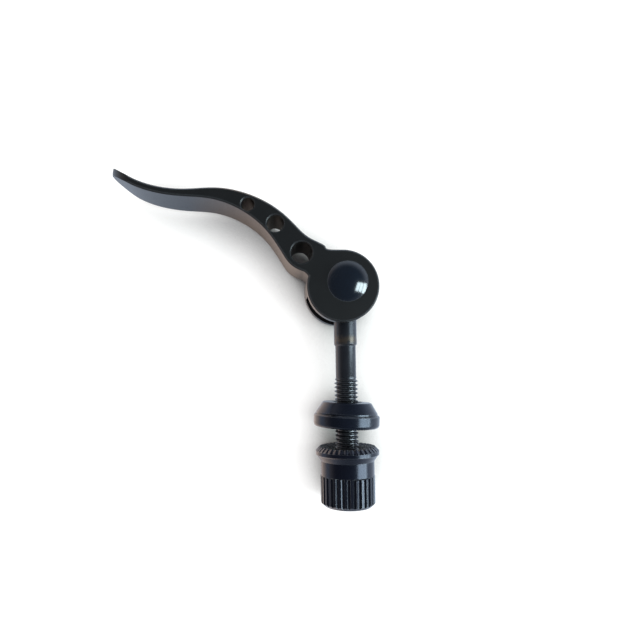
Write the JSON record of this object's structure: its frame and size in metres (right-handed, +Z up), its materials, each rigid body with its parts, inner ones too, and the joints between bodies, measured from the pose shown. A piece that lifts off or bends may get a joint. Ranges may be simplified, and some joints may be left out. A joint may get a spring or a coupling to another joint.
{
  "type": "quick release cam lever",
  "caption": "Quick-release cam lever: forked cam head on a domed cross pin, threaded stud, cone washer and knurled adjusting nut.",
  "frame": {"origin": "where the pivot pin's axis crosses the stud's axis", "axes": "+Z along the pivot pin, -Y along the stud towards the nut, -X towards the lever's grip; the part lies on its side, +Z up"},
  "size_m": [0.0653, 0.0839, 0.0162],
  "materials": {
    "anodised_lever": "satin black anodised",
    "pin_steel": "polished black",
    "stud_steel": "black oxide, oiled",
    "washer_steel": "black oxide",
    "nut_steel": "black oxide"
  },
  "bodies": {
    "core": {"pivot_pin": "pin_steel", "stud": "stud_steel"},
    "lever": {"lever": "anodised_lever"},
    "washers": {"cone_washer": "washer_steel", "base_washer": "washer_steel"},
    "nut": {"adjusting_nut": "nut_steel"}
  },
  "joints": [
    {"name": "lever_turn", "type": "hinge", "parent": "core", "child": "lever", "pos_m": [0, 0, 0], "axis": [0, 0, 1], "range_deg": [-70, 49]},
    {"name": "washer_slide", "type": "slide", "parent": "core", "child": "washers", "axis": [0, -1, 0], "range_m": [-0.0175, 0.0011]},
    {"name": "nut_travel", "type": "slide", "parent": "core", "child": "nut", "axis": [0, -1, 0], "range_m": [-0.003, 0.0085]}
  ]
}
